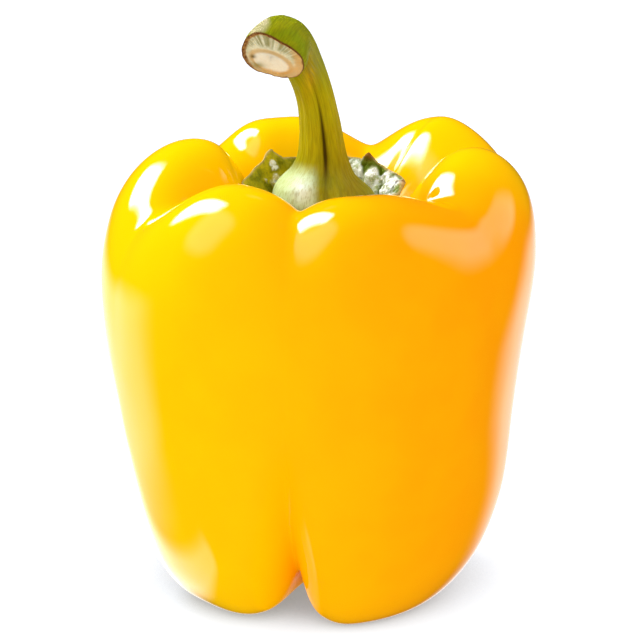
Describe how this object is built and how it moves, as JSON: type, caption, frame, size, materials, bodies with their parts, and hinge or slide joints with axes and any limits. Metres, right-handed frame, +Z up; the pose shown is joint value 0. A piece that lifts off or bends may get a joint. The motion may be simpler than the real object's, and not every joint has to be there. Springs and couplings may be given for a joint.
{
  "type": "bell pepper",
  "caption": "Blocky yellow bell pepper standing upright on its lobes, with a crumpled green calyx and a ribbed stem that hooks over to its cut end.",
  "frame": {"origin": "middle of the bounding box's underside, on the surface that the pepper stands on", "axes": "+Z up, along the standing fruit; the pictured front faces -Y, and +X is its right-hand side"},
  "size_m": [0.0859, 0.086, 0.118],
  "materials": {
    "skin": "waxy gloss, lemon yellow on one side turning to orange yellow on the other",
    "calyx": "dull leafy green with a pale bloom on its folds",
    "stem": "satin yellow-green with darker grooves, and a dry cream cut end with a brown edge"
  },
  "bodies": {
    "root": {"fruit": "skin", "calyx": "calyx", "stem": "stem"}
  },
  "joints": []
}
